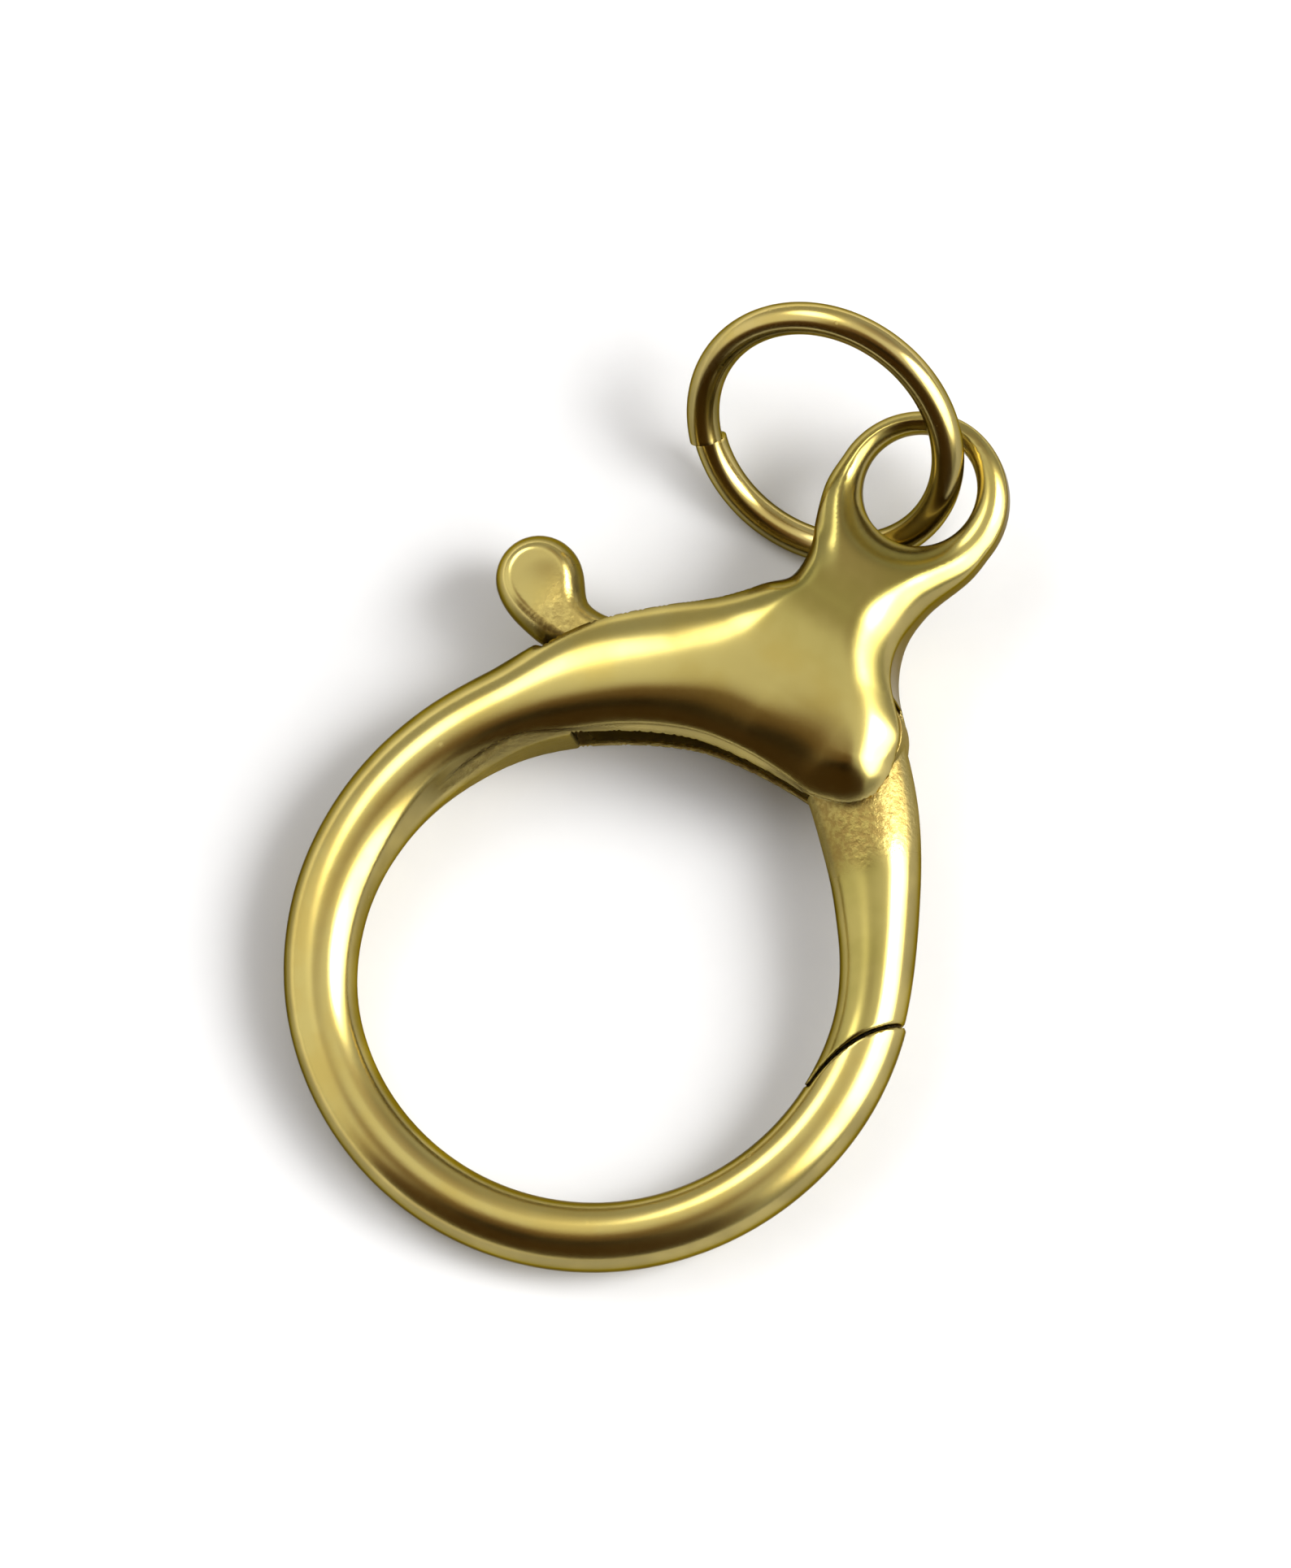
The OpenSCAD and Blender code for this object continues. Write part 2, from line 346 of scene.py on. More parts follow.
@dataclass(frozen=True)
class Rest:
    """How the clasp lies: tilted on the belly of its head, with the claw's far side down."""

    slope_deg: float = 4.07
    claw_mid_r: float = 8.875
    claw_half_t: float = 1.15
    origin_back: float = 5.55

    def matrix(self) -> Matrix:
        """Turns the clasp's frame in millimetres into the model's frame in metres.

        Returns:
            The matrix, with turn, place and scale.
        """
        lift = self.claw_half_t + self.claw_mid_r * math.sin(math.radians(self.slope_deg))
        place = Matrix.Translation(Vector((0.0, -self.origin_back, lift)))
        return Matrix.Scale(MM, 4) @ place @ Matrix.Rotation(math.radians(self.slope_deg), 4, "X")


REST = Rest()


def side_shade_share(normals: Array) -> Array:
    """One where a surface faces sideways or down, nothing where it faces up; this is where shade is painted
    on the sides.
    """
    return 1.0 - smooth_step(normals[:, 2], *SIDE_SHADE_TO_TOP)


def add_object(name: str, data: bpy.types.ID) -> bpy.types.Object:
    """Puts an object with a mesh or a camera in the scene.

    Args:
        name: Name of the object.
        data: The mesh or camera.

    Returns:
        The object, at the origin.
    """
    added = bpy.data.objects.new(name, data)
    bpy.context.scene.collection.objects.link(added)
    return added


def mark_points(mesh: bpy.types.Mesh, key: str, values: Array) -> None:
    """Keeps a value for each point, for the finish to read by its name."""
    layer = mesh.attributes.new(key, "FLOAT", "POINT")
    layer.data.foreach_set("value", np.asarray(values, np.float32))


def make_object(name: str, skin: Skin, marks: dict[str, Array]) -> bpy.types.Object:
    """Makes a mesh object from a skin, laid at rest.

    Args:
        name: Name of the object.
        skin: Surface in the clasp's frame.
        marks: Values per point that the finish reads, by name.

    Returns:
        The object, at the origin with its place in its mesh.
    """
    place = np.array(REST.matrix())
    points = skin.points @ place[:3, :3].T + place[:3, 3]
    normals = skin.normals @ (place[:3, :3] / MM).T
    mesh = bpy.data.meshes.new(name)
    mesh.from_pydata(points, [], skin.faces.tolist())
    mesh.shade_smooth()
    mesh.normals_split_custom_set_from_vertices(normals.tolist())
    for key, values in marks.items():
        mark_points(mesh, key, values)
    mesh.update()
    return add_object(name, mesh)


# Node trees


class Wire:
    """An output socket that adds Math nodes when it stands in an expression."""

    def __init__(self, graph: "Graph", socket: bpy.types.NodeSocket) -> None:
        """Keeps the socket and the tree that it belongs to."""
        self.graph = graph
        self.socket = socket

    def _math(self, operation: str, first: "Value", second: "Value") -> "Wire":
        """Adds one Math node on two values."""
        return self.graph.add("ShaderNodeMath", {"operation": operation}, {0: first, 1: second})

    def __add__(self, other: "Value") -> "Wire":
        """Sum."""
        return self._math("ADD", self, other)

    __radd__ = __add__

    def __sub__(self, other: "Value") -> "Wire":
        """Difference."""
        return self._math("SUBTRACT", self, other)

    def __rsub__(self, other: "Value") -> "Wire":
        """Difference from a number."""
        return self._math("SUBTRACT", other, self)

    def __mul__(self, other: "Value") -> "Wire":
        """Product."""
        return self._math("MULTIPLY", self, other)

    __rmul__ = __mul__

    def __truediv__(self, other: "Value") -> "Wire":
        """Quotient."""
        return self._math("DIVIDE", self, other)

    def __pow__(self, other: "Value") -> "Wire":
        """Power."""
        return self._math("POWER", self, other)


Value = Union[float, tuple, Wire, bpy.types.Material]


class Graph:
    """Adds nodes to one tree."""

    def __init__(self, tree: bpy.types.NodeTree) -> None:
        """Keeps the tree."""
        self.tree = tree

    def add(self, kind: str, settings: Optional[dict] = None,
            inputs: Optional[dict[Union[int, str], Value]] = None, out: Union[int, str] = 0) -> Wire:
        """Adds a node, sets it up and feeds its sockets.

        Args:
            kind: Type of the node.
            settings: Properties of the node, set first.
            inputs: Values or wires by socket name or number.
            out: Output that is handed back.

        Returns:
            The chosen output.
        """
        node = self.tree.nodes.new(kind)
        for name, value in (settings or {}).items():
            setattr(node, name, value)
        for key, value in (inputs or {}).items():
            socket = node.inputs[key]
            if isinstance(value, Wire):
                self.tree.links.new(value.socket, socket)
            else:
                socket.default_value = value
        if not len(node.outputs):
            return Wire(self, None)
        return Wire(self, node.outputs[out])

    def spread(self, value: Wire, low: float, high: float, to_low: float = 0.0, to_high: float = 1.0) -> Wire:
        """Maps a value smoothly from one range to another and holds it at the ends."""
        return self.add("ShaderNodeMapRange", {"interpolation_type": "SMOOTHSTEP", "clamp": True},
                        {0: value, 1: low, 2: high, 3: to_low, 4: to_high})

    def blend(self, share: Value, first: Value, second: Value) -> Wire:
        """Mixes two colours."""
        return self.add("ShaderNodeMix", {"data_type": "RGBA"}, {0: share, 6: first, 7: second}, out=2)

    def mark(self, key: str) -> Wire:
        """Value that the mesh keeps for each point under a name."""
        return self.add("ShaderNodeAttribute", {"attribute_name": key}, out="Fac")

    def noise(self, place: Value, scale: float, detail: float = 2.0, rough: float = 0.5) -> Wire:
        """Noise with blobs of about one over scale metres."""
        return self.add("ShaderNodeTexNoise", {"noise_dimensions": "3D"},
                        {"Vector": place, "Scale": scale, "Detail": detail, "Roughness": rough})


def blank_tree(owner: Union[bpy.types.Material, bpy.types.World]) -> Graph:
    """Empties the node tree of a material or a world.

    Args:
        owner: The material or world.

    Returns:
        Its tree, ready for nodes.
    """
    owner.use_nodes = True
    owner.node_tree.nodes.clear()
    return Graph(owner.node_tree)


# Finishes


Colour = tuple[float, float, float]
Pair = tuple[float, float]


def opaque(colour: Colour) -> tuple[float, float, float, float]:
    """A colour with full cover, as a node's socket takes it."""
    return (*colour, 1.0)


@dataclass(frozen=True)
class BrassFinish:
    """Brass with a soft hand polish: cloudy colour, fine grain and small pits, with shade painted into
    hollows, over the neck and on sideways faces.
    """

    name: str
    metal: Colour = (0.83, 0.67, 0.22)
    warm: Colour = (0.81, 0.62, 0.175)
    # Dark brown of the painted shade in hollows, also used for the file scars
    hollow_shade: Colour = (0.38, 0.25, 0.07)
    # Painted shade on the neck, the head's top and the gate's inner part, standing in for darker reflections
    # there
    painted_shade_olive: Colour = (0.52, 0.435, 0.11)
    # Painted shade for surfaces that face sideways or down, standing in for the darker floor they reflect
    side_shade: Colour = (0.29, 0.235, 0.09)
    grazing: Colour = (0.36, 0.3, 0.17)
    gloss_rough: float = 0.21
    # Blobs of the patterns per metre
    cloud_per_m: float = 420.0
    grain_per_m: float = 9000.0
    wave_per_m: float = 900.0
    pit_per_m: float = 1500.0
    pit_pick_share: float = 0.37
    scar_per_m: float = 4600.0
    cast_per_m: float = 8000.0
    # Where in the clouds or scars a colour comes in, and the least of it that is always there
    warm_clouds: Pair = (0.4, 0.66)
    painted_shade_clouds: Pair = (0.3, 0.65)
    painted_shade_least: float = 0.6
    hollow_shade_clouds: Pair = (0.25, 0.6)
    hollow_shade_least: float = 0.55
    side_shade_clouds: Pair = (0.3, 0.6)
    side_shade_least: float = 0.8
    scar_dark: Pair = (0.42, 0.62)
    scar_most: float = 0.75
    pit_cell: float = 0.22
    pit_picks: Pair = (0.62, 0.7)
    # What the patterns add to the roughness
    grain_rough: float = 0.04
    cloud_rough: float = 0.12
    pit_rough: float = 0.2
    file_rough: float = 0.21
    hollow_rough: float = 0.12
    # Depths in metres
    wave_depth: float = 0.000004
    grain_depth: float = 0.0000003
    pit_depth: float = 0.00000216
    file_depth: float = 0.00003
    cast_share: float = 0.5
    uses_marks: bool = True

    def material(self) -> bpy.types.Material:
        """Builds the finish's material.

        Returns:
            The material, which reads the piece's marks where it has them.
        """
        material = bpy.data.materials.new(self.name)
        graph = blank_tree(material)
        place = graph.add("ShaderNodeTexCoord", out="Object")
        clouds = graph.noise(place, self.cloud_per_m, detail=3.0)
        grain = graph.noise(place, self.grain_per_m, rough=0.6)
        wave = graph.noise(place, self.wave_per_m, detail=1.0, rough=0.4)
        pits = self.pits(graph, place)
        colour = graph.blend(graph.spread(clouds, *self.warm_clouds), opaque(self.metal), opaque(self.warm))
        rough = (self.gloss_rough + (grain - 0.5) * self.grain_rough + (clouds - 0.5) * self.cloud_rough
                 + pits * self.pit_rough)
        height = wave * self.wave_depth + grain * self.grain_depth - pits * self.pit_depth
        if self.uses_marks:
            # The first two marks paint shade into the colour, over neck, head top and gate and in hollows;
            # the third marks file scars
            painted_shade, hollow_shade, filed = (graph.mark(key) for key in ("painted_shade", "hollow_shade", "filed"))
            painted_shade_amount = graph.spread(clouds, *self.painted_shade_clouds, self.painted_shade_least, 1.0)
            colour = graph.blend(painted_shade * painted_shade_amount, colour, opaque(self.painted_shade_olive))
            hollow_shade_amount = graph.spread(clouds, *self.hollow_shade_clouds, self.hollow_shade_least, 1.0)
            colour = graph.blend(hollow_shade * hollow_shade_amount, colour, opaque(self.hollow_shade))
            scar = graph.noise(place, self.scar_per_m, detail=4.0, rough=0.65)
            cast = graph.noise(place, self.cast_per_m)
            scar_share = graph.spread(scar, *self.scar_dark, self.scar_most, 0.0)
            colour = graph.blend(filed * scar_share, colour, opaque(self.hollow_shade))
            rough = rough + filed * self.file_rough + hollow_shade * self.hollow_rough
            height = height + filed * (scar + cast * self.cast_share) * self.file_depth
        # Painted shade where the surface faces sideways or down, read from the side mark
        side_shade_amount = graph.spread(clouds, *self.side_shade_clouds, self.side_shade_least, 1.0)
        colour = graph.blend(graph.mark("side") * side_shade_amount, colour, opaque(self.side_shade))
        bump = graph.add("ShaderNodeBump", None, {"Strength": 1.0, "Distance": 1.0, "Height": height})
        shader = graph.add("ShaderNodeBsdfPrincipled", None, {
            "Base Color": colour, "Metallic": 1.0, "Roughness": rough, "Normal": bump,
            "Specular Tint": opaque(self.grazing)})
        graph.add("ShaderNodeOutputMaterial", None, {"Surface": shader})
        return material

    def pits(self, graph: Graph, place: Wire) -> Wire:
        """Small pits in loose groups.

        Args:
            graph: Tree of the material.
            place: Position on the piece.

        Returns:
            One in the middle of a pit, nothing outside them.
        """
        cell = graph.add("ShaderNodeTexVoronoi", {"feature": "F1"},
                         {"Vector": place, "Scale": self.pit_per_m, "Randomness": 1.0}, out="Distance")
        pick = graph.noise(place, self.pit_per_m * self.pit_pick_share, detail=1.0)
        return graph.spread(cell, 0.0, self.pit_cell, 1.0, 0.0) * graph.spread(pick, *self.pit_picks)


@dataclass(frozen=True)
class FloorFinish:
    """Smooth white paper."""

    name: str = "white_paper"
    tone: float = 0.9
    tone_swing: float = 0.005
    fibre_per_m: float = 700.0
    fibre_range: Pair = (0.3, 0.7)
    rough: float = 0.8

    def material(self) -> bpy.types.Material:
        """Builds the floor's material.

        Returns:
            The material.
        """
        material = bpy.data.materials.new(self.name)
        graph = blank_tree(material)
        place = graph.add("ShaderNodeTexCoord", out="Object")
        fibre = graph.noise(place, self.fibre_per_m)
        lightest, darkest = self.tone + self.tone_swing, self.tone - self.tone_swing
        tone = graph.spread(fibre, *self.fibre_range, darkest, lightest)
        colour = graph.add("ShaderNodeCombineColor", None, {0: tone, 1: tone, 2: tone})
        shader = graph.add("ShaderNodeBsdfPrincipled", None, {"Base Color": colour, "Roughness": self.rough})
        graph.add("ShaderNodeOutputMaterial", None, {"Surface": shader})
        return material


# Pieces


def disc_field(x: Array, y: Array, centre: Sequence[float], radius: float) -> Array:
    """Distance outside an upright cylinder."""
    return np.hypot(x - centre[0], y - centre[1]) - radius


def grid(low: float, high: float, cell: float) -> Array:
    """Rising grid positions along one axis."""
    return np.arange(low, high, cell)


@dataclass
class Spots:
    """What the casting's tables say at a set of positions."""

    x: Array
    y: Array
    r: Array
    turn: Array
    inner: Array
    outer: Array
    half: Array
    lip: Array
    half_w: Array
    in_neck: Array
    neck_rim: Array
    on_bail: Array
    own_depth: Array
    flank: Array
    depth: Array


@dataclass
class Casting:
    """Claw, pillow head, neck and bail, cast in one."""

    name: str = "casting"
    cell: float = 0.11
    head_cell: float = 0.088
    quick_cell: float = 0.16
    grid_x: Pair = (-10.3, 10.5)
    grid_y: tuple[float, float, float, float] = (-10.3, 4.4, 13.4, 20.9)
    grid_z: Pair = (-2.75, 2.76)
    # Inner wall of the head, then its bevel: how far in they end, and at what share of the height
    # above the wall's foot; of the claw's half thickness on the claw; in millimetres on the heel
    wall_low: float = 1.35
    wall_end: Pair = (0.2, 0.41)
    bevel_end: Pair = (0.32, 0.545)
    claw_low_share: float = 0.08
    claw_wall: Pair = (0.03, 0.156)
    claw_bevel: Pair = (0.1, 0.41)
    heel_wall: Pair = (0.03, 1.43)
    heel_bevel: Pair = (0.13, 1.55)
    heel_over: Pair = (-0.2, 0.4)
    heel_side_y: Pair = (9.8, 11.2)
    side_slot_y: Pair = (11.9, 15.0)
    side_drop: float = 0.7
    inset_blend: float = 0.15
    head_fullness: float = 0.16
    # Ridge of the head: its place across, and how the flank on the gate's side falls from it
    ridge_at: float = -0.11
    ridge_round: float = 0.15
    flank_power: float = 2.0
    neck_flank_power: float = 1.7
    flank_w: float = 1.6
    neck_flank_w: float = 1.7
    flank_narrows_y: Pair = (11.0, 13.5)
    flank_x: Pair = (0.0, 2.5)
    flank_y: Pair = (6.0, 7.5)
    flank_turns: Pair = (264.0, 282.0)
    fall_blend: float = 0.05
    # Where the flank's outline doesn't count, on the claw and on the thumb's side
    off_flank: float = 40.0
    flank_from_turns: Pair = (240.0, 258.0)
    aside_y: Pair = (11.5, 13.5)
    # Neck: where its height and its own outline take over, and the rim where it meets the head
    own_outline_y: Pair = (13.5, 15.5)
    neck_height_y: Pair = (10.2, 13.4)
    neck_foot_y: float = 8.8
    neck_rim: float = 1.0
    neck_edge_over: Pair = (-2.3, 1.2)
    # Rounding of the corner between head and neck, and the head's outline to its circle
    corner_blend: float = 1.0
    outer_slant: float = 0.955
    # Rim over the slot on the thumb's side
    thumb_slot_turns: Pair = (214.0, 238.0)
    thumb_slot_y: Pair = (12.6, 13.4)
    thumb_rim_z: float = 1.4
    # Outline down the gate's side of neck and head: two straight sides, each as the direction that
    # it faces and its distance, with the round heel between them, and the hollow round of the waist
    gate_side: Pair = (20.2, 7.72)
    mouth_side: Pair = (-72.0, -6.65)
    heel_r: float = 1.58
    waist_centre: Pair = (5.01, 14.15)
    waist_r: float = 2.79
    waist_blend: float = 0.63
    mouth_mid_turn: float = 313.65
    edge: float = 0.1
    bail_centre: Pair = (0.03, 17.76)
    bail_outer_r: float = 2.84
    bail_hole: Pair = (-0.13, 18.0)
    bail_hole_r: float = 1.81
    bail_blend: float = 0.9
    neck_past_bail: float = 0.5
    hole_edge: float = 0.12
    slot_half: float = 1.35
    pivot: Pair = (2.8, 10.4)
    pin_hole_r: float = 0.63
    pin_hole_half: float = 2.0
    seam_centre: Pair = (12.78, 0.33)
    seam_r: float = 4.8
    tip_block: tuple[float, float, float, float] = (4.0, 12.0, 0.4, 6.4)
    # Marks for the finish: how far out a hollow is felt for the painted shade in it, where the file has been,
    # and the painted shade on the neck
    hollow_reach: float = 0.7
    hollow_clear: Pair = (0.1, 0.85)
    filed_depth: Pair = (0.46, 0.22)
    filed_thins_turns: Pair = (215.0, 228.0)
    filed_from_turns: Pair = (190.0, 205.0)
    filed_edge: float = 0.12
    filed_z: Pair = (1.4, 1.7)
    painted_shade_from_y: Pair = (10.6, 13.2)
    painted_shade_to_y: Pair = (16.0, 18.0)
    painted_shade_fades: float = 0.6
    head_painted_shade: float = 0.3
    # Turn from the claw's tip clockwise to the heel: inner radius, outer radius, half thickness, lip share
    slices: tuple = (
        (-30, 7.75, 10.1, 1.1, 0), (-5, 7.75, 10.06, 1.15, 0), (20, 7.75, 10, 1.15, 0),
        (60, 7.75, 10, 1.15, 0), (130, 7.7, 10, 1.15, 0), (155, 7.45, 9.92, 1.25, 0),
        (178, 7.15, 9.8, 1.4, 0.1), (200, 6.95, 9.75, 1.6, 0.4), (216, 6.98, 9.85, 1.85, 0.8),
        (229, 7.0, 10.35, 2.08, 1), (241, 7.06, 10.95, 2.28, 1), (251, 7.22, 11.65, 2.4, 1),
        (256.5, 7.35, 12.2, 2.43, 1), (262, 7.48, 12.8, 2.45, 1), (272, 7.68, 13.0, 2.45, 1),
        (281, 7.96, 13.05, 2.45, 1), (286.5, 8.18, 12.54, 2.43, 1), (290, 8.25, 12.15, 2.38, 1),
        (293, 8.27, 11.79, 2.33, 1), (295, 8.265, 11.665, 2.3, 1), (300, 8.22, 11.5, 2.25, 1),
    )
    # Way up neck and bail: middle, half width, half thickness, width of the rounded edge
    neck_slices: tuple = (
        (7.5, 0.1, 2.6, 1.9, 1.6), (8.3, 0.1, 2.6, 2.08, 1.6), (9.1, 0.1, 2.6, 2.24, 1.6),
        (10.0, 0.1, 2.6, 2.34, 1.6), (10.7, 0.1, 2.6, 2.37, 1.6), (11.5, 0.1, 2.6, 2.35, 1.6),
        (12.2, 0.15, 2.45, 2.3, 1.6), (12.8, 0.2, 2.28, 2.21, 1.55), (13.4, 0.25, 2.08, 2.08, 1.5),
        (14.0, 0.23, 2.04, 1.92, 1.42), (14.6, 0.17, 2.1, 1.74, 1.32), (15.3, 0.06, 2.3, 1.5, 1.15),
        (16.0, 0.02, 2.45, 1.24, 1.0), (16.6, 0.0, 2.5, 1.02, 0.85),
        (17.2, 0.0, 2.3, 0.87, 0.72), (18.2, 0.0, 1.5, 0.82, 0.62), (20.6, 0.0, 0.5, 0.825, 0.55),
    )
    slot_outline: tuple = (
        (-4.5, 5.25), (-2.5, 3.5), (7, 4.0), (7, 11.3), (4.3, 11.45), (3.2, 11.95), (2.6, 12.05),
        (-1, 12.25), (-2.4, 12.3), (-4.2, 12.7), (-5, 14.5), (-10, 11), (-8.4, 6.9), (-6.9, 7.1),
    )
    turn_softness: float = 1.6
    turn_step: float = 0.1
    neck_softness: float = 0.18
    neck_step: float = 0.02
    turns: SliceTable = field(init=False)
    neck_rows: SliceTable = field(init=False)

    def __post_init__(self) -> None:
        """Makes the smooth tables of the sweep and the neck."""
        self.turns = SliceTable(self.slices, self.turn_softness, self.turn_step)
        self.neck_rows = SliceTable(self.neck_slices, self.neck_softness, self.neck_step)

    def turn_at(self, x: Array, y: Array) -> Array:
        """Turn clockwise round the claw, in degrees, from the tip's side of the mouth."""
        turn = np.mod(-np.degrees(np.arctan2(y, x)), 360.0)
        return np.where(turn > self.mouth_mid_turn, turn - 360.0, turn)

    def spots(self, x: Array, y: Array) -> Spots:
        """Looks up the sweep and the neck.

        Args:
            x: Positions along X.
            y: Positions along Y.

        Returns:
            The tables' values, and the distances in from the outlines.
        """
        turn = self.turn_at(x, y)
        inner, outer, half, lip = self.turns.look_up(turn)
        middle, neck_w, neck_h, neck_rim = self.neck_rows.look_up(y)
        in_neck = smooth_step(y, *self.neck_height_y)
        in_flank = smooth_step(x, *self.flank_x) * smooth_step(y, *self.flank_y)
        half = half + (neck_h - half) * (1 - (1 - in_neck) * (1 - in_flank))
        aside = (1 - smooth_step(turn, *self.flank_from_turns)) * (1 - smooth_step(y, *self.aside_y))
        on_bail = smooth_step(y, *self.own_outline_y)
        own_depth = -self.neck_outline(x, y, middle, neck_w)
        flank = self.flank_depth(x, y) + self.off_flank * aside
        return Spots(x, y, np.hypot(x, y), turn, inner, outer, half, lip, (outer - inner) / 2, in_neck,
                     neck_rim, on_bail, own_depth, flank, flank + (own_depth - flank) * on_bail)

    def body(self, x: Array, y: Array, z: Array) -> Array:
        """Field of claw, head, neck and bail: a swollen sheet that falls from its ridge to its outline.

        Args:
            x: Positions along X.
            y: Positions along Y.
            z: Positions along Z.

        Returns:
            The field, negative inside.
        """
        at = self.spots(x, y)
        head_depth = (at.outer - at.r) * self.outer_slant
        neck_depth = smooth_min(at.own_depth, at.y - self.neck_foot_y, self.corner_blend)
        union = smooth_max(head_depth, neck_depth, self.corner_blend)
        union_w = at.half_w * (1 - self.ridge_at * at.lip)
        neck_share = smooth_step(neck_depth - head_depth, *self.neck_edge_over)
        union_w = union_w + (self.neck_rim - union_w) * neck_share
        wall_end, bevel_end, flat = self.rim(at)

        tall = np.abs(z)
        degree = 2 / (1 - self.head_fullness * at.lip)
        fall = self.fall(at, np.maximum(union_w - union, 0.0) / union_w, bevel_end, flat)
        scale = np.minimum(at.half, at.half_w + (at.neck_rim - at.half_w) * at.in_neck)
        body = ((fall + (tall / at.half) ** degree) ** (1 / degree) - 1) * scale
        inset = smooth_min(at.r - at.inner, at.depth, self.inset_blend)
        low = at.lip * self.wall_low + (1 - at.lip) * at.half * self.claw_low_share
        wall = self.plane(inset, tall, (0.0, low), wall_end)
        bevel = self.plane(inset, tall, wall_end, bevel_end)
        trim = smooth_max(bevel, smooth_max(wall, -inset, self.edge * 0.6), self.edge * 0.4)
        solid = smooth_max(smooth_max(body, -union, self.edge * 0.5), trim, self.edge * 0.5)
        return np.maximum(solid, (self.slices[0][0] - at.turn) * math.radians(1.0) * at.r)

    def fall(self, at: Spots, outer_out: Array, bevel_end: tuple[Array, Array], flat: Array) -> Array:
        """How far the surface has fallen, from 0 at the ridge to 1 at mid height.

        Args:
            at: The positions.
            outer_out: Way out from the ridge to the outline of head and neck, as a share.
            bevel_end: How far in and how far up the rim's bevel ends.
            flat: How much of the rim's height is left.

        Returns:
            The fall at each position.
        """
        bevel_x, bevel_z = bevel_end
        degree = 2 / (1 - self.head_fullness * at.lip)
        ridge = self.ridge_at * at.lip
        inner_fall = 1 - np.minimum(bevel_z / at.half, 1.0) ** degree
        inner_out = (ridge + 1 - (at.r - at.inner) / at.half_w) / (1 + ridge - bevel_x / at.half_w)
        slot_open = smooth_step(at.turn, *self.thumb_slot_turns) * (1 - smooth_step(at.y, *self.thumb_slot_y))
        outer_rim = np.maximum(1 - (self.thumb_rim_z / at.half) ** degree, 0.0) ** (1 / degree)
        outer_out = outer_out * (1 - slot_open * (1 - outer_rim))
        near_flank = smooth_step(at.turn, *self.flank_turns)
        fall = inner_fall * np.maximum(inner_out, 0.0) ** degree + (1 - near_flank) * outer_out**degree

        narrow = smooth_step(at.y, *self.flank_narrows_y)
        power = self.flank_power + (self.neck_flank_power - self.flank_power) * narrow
        flank_w = self.flank_w + (self.neck_flank_w - self.flank_w) * narrow
        rim_share = bevel_z * flat / at.half
        flank_fall = self.flank_fall(at.flank, flank_w, power, bevel_x, rim_share)
        own_fall = self.flank_fall(at.own_depth, at.neck_rim, power, bevel_x, rim_share)
        return smooth_max(fall, flank_fall + (own_fall - flank_fall) * at.on_bail, self.fall_blend)

    def rim(self, at: Spots) -> tuple[tuple[Array, Array], tuple[Array, Array], Array]:
        """Sizes of the rim's wall and bevel.

        Args:
            at: The positions.

        Returns:
            How far in and up the wall ends, the same of the bevel, and how much of the rim's height
            is left.
        """
        at_heel = smooth_step(at.r - at.inner - at.depth, *self.heel_over)
        above = at.half - self.wall_low
        width = 1 - at_heel * smooth_step(at.y, *self.heel_side_y)
        ends = []
        for head, claw, heel in ((self.wall_end, self.claw_wall, self.heel_wall),
                                 (self.bevel_end, self.claw_bevel, self.heel_bevel)):
            heights = self.wall_low + head[1] * above, claw[1] * at.half, heel[1]
            across, up = ((1 - at_heel) * (at.lip * big + (1 - at.lip) * thin) + at_heel * side
                          for big, thin, side in ((head[0], claw[0], heel[0]), heights))
            ends.append((across * width, up))
        flat = 1 - at_heel * self.side_drop * smooth_step(at.y, *self.side_slot_y)
        return ends[0], ends[1], flat

    def flank_depth(self, x: Array, y: Array) -> Array:
        """Distance in from the outline down the gate's side of neck and head and round the heel.

        Args:
            x: Positions along X.
            y: Positions along Y.

        Returns:
            The distance, negative outside.
        """
        sides = []
        for facing_deg, distance in (self.gate_side, self.mouth_side):
            facing = math.radians(facing_deg)
            sides.append(x * math.cos(facing) + y * math.sin(facing) - distance)
        beside = [np.maximum(side + self.heel_r, 0.0) for side in sides]
        corner = (beside[0] > 0) & (beside[1] > 0)
        outline = np.where(corner, np.hypot(*beside) - self.heel_r, np.maximum(*sides))
        return -smooth_max(outline, -disc_field(x, y, self.waist_centre, self.waist_r), self.waist_blend)

    def flank_fall(self, depth: Array, width: Array, power: Array, rim_x: Array, rim_share: Array) -> Array:
        """How far the flank has fallen, from 0 at the ridge to 1 at mid height.

        Args:
            depth: Distance in from the outline.
            width: Distance from the outline to the ridge.
            power: How much steeper the flank gets on its way down.
            rim_x: Distance in to the top of the rim.
            rim_share: Height of the rim as a share of the ridge's height.

        Returns:
            The fall at each position.
        """
        degree = 2 / (1 - self.head_fullness)
        round_off = self.ridge_round
        whole = (1 + round_off**2) ** (power / 2) - round_off**power
        rim_fall = 1 - np.minimum(rim_share, 1.0) ** degree
        rim_out = np.sqrt((rim_fall * whole + round_off**power) ** (2 / power) - round_off**2)
        out = np.maximum(width - depth, 0.0) / (width - rim_x) * rim_out
        return ((out**2 + round_off**2) ** (power / 2) - round_off**power) / whole

    @staticmethod
    def plane(across: Array, tall: Array, start: tuple, end: tuple) -> Array:
        """Distance above the line that rises from one point of a slice to another."""
        run, rise = end[0] - start[0], end[1] - start[1]
        return (run * (tall - start[1]) - rise * (across - start[0])) / np.hypot(run, rise)

    def neck_outline(self, x: Array, y: Array, middle: Array, half_w: Array) -> Array:
        """Distance to the outline of neck and bail.

        Args:
            x: Positions along X.
            y: Positions along Y.
            middle: Middle of the neck.
            half_w: Half its width.

        Returns:
            The distance, negative inside.
        """
        neck = np.maximum(np.abs(x - middle) - half_w, y - self.bail_centre[1] - self.neck_past_bail)
        disc = disc_field(x, y, self.bail_centre, self.bail_outer_r)
        hole = -disc_field(x, y, self.bail_hole, self.bail_hole_r)
        return smooth_max(smooth_min(neck, disc, self.bail_blend), hole, self.hole_edge)

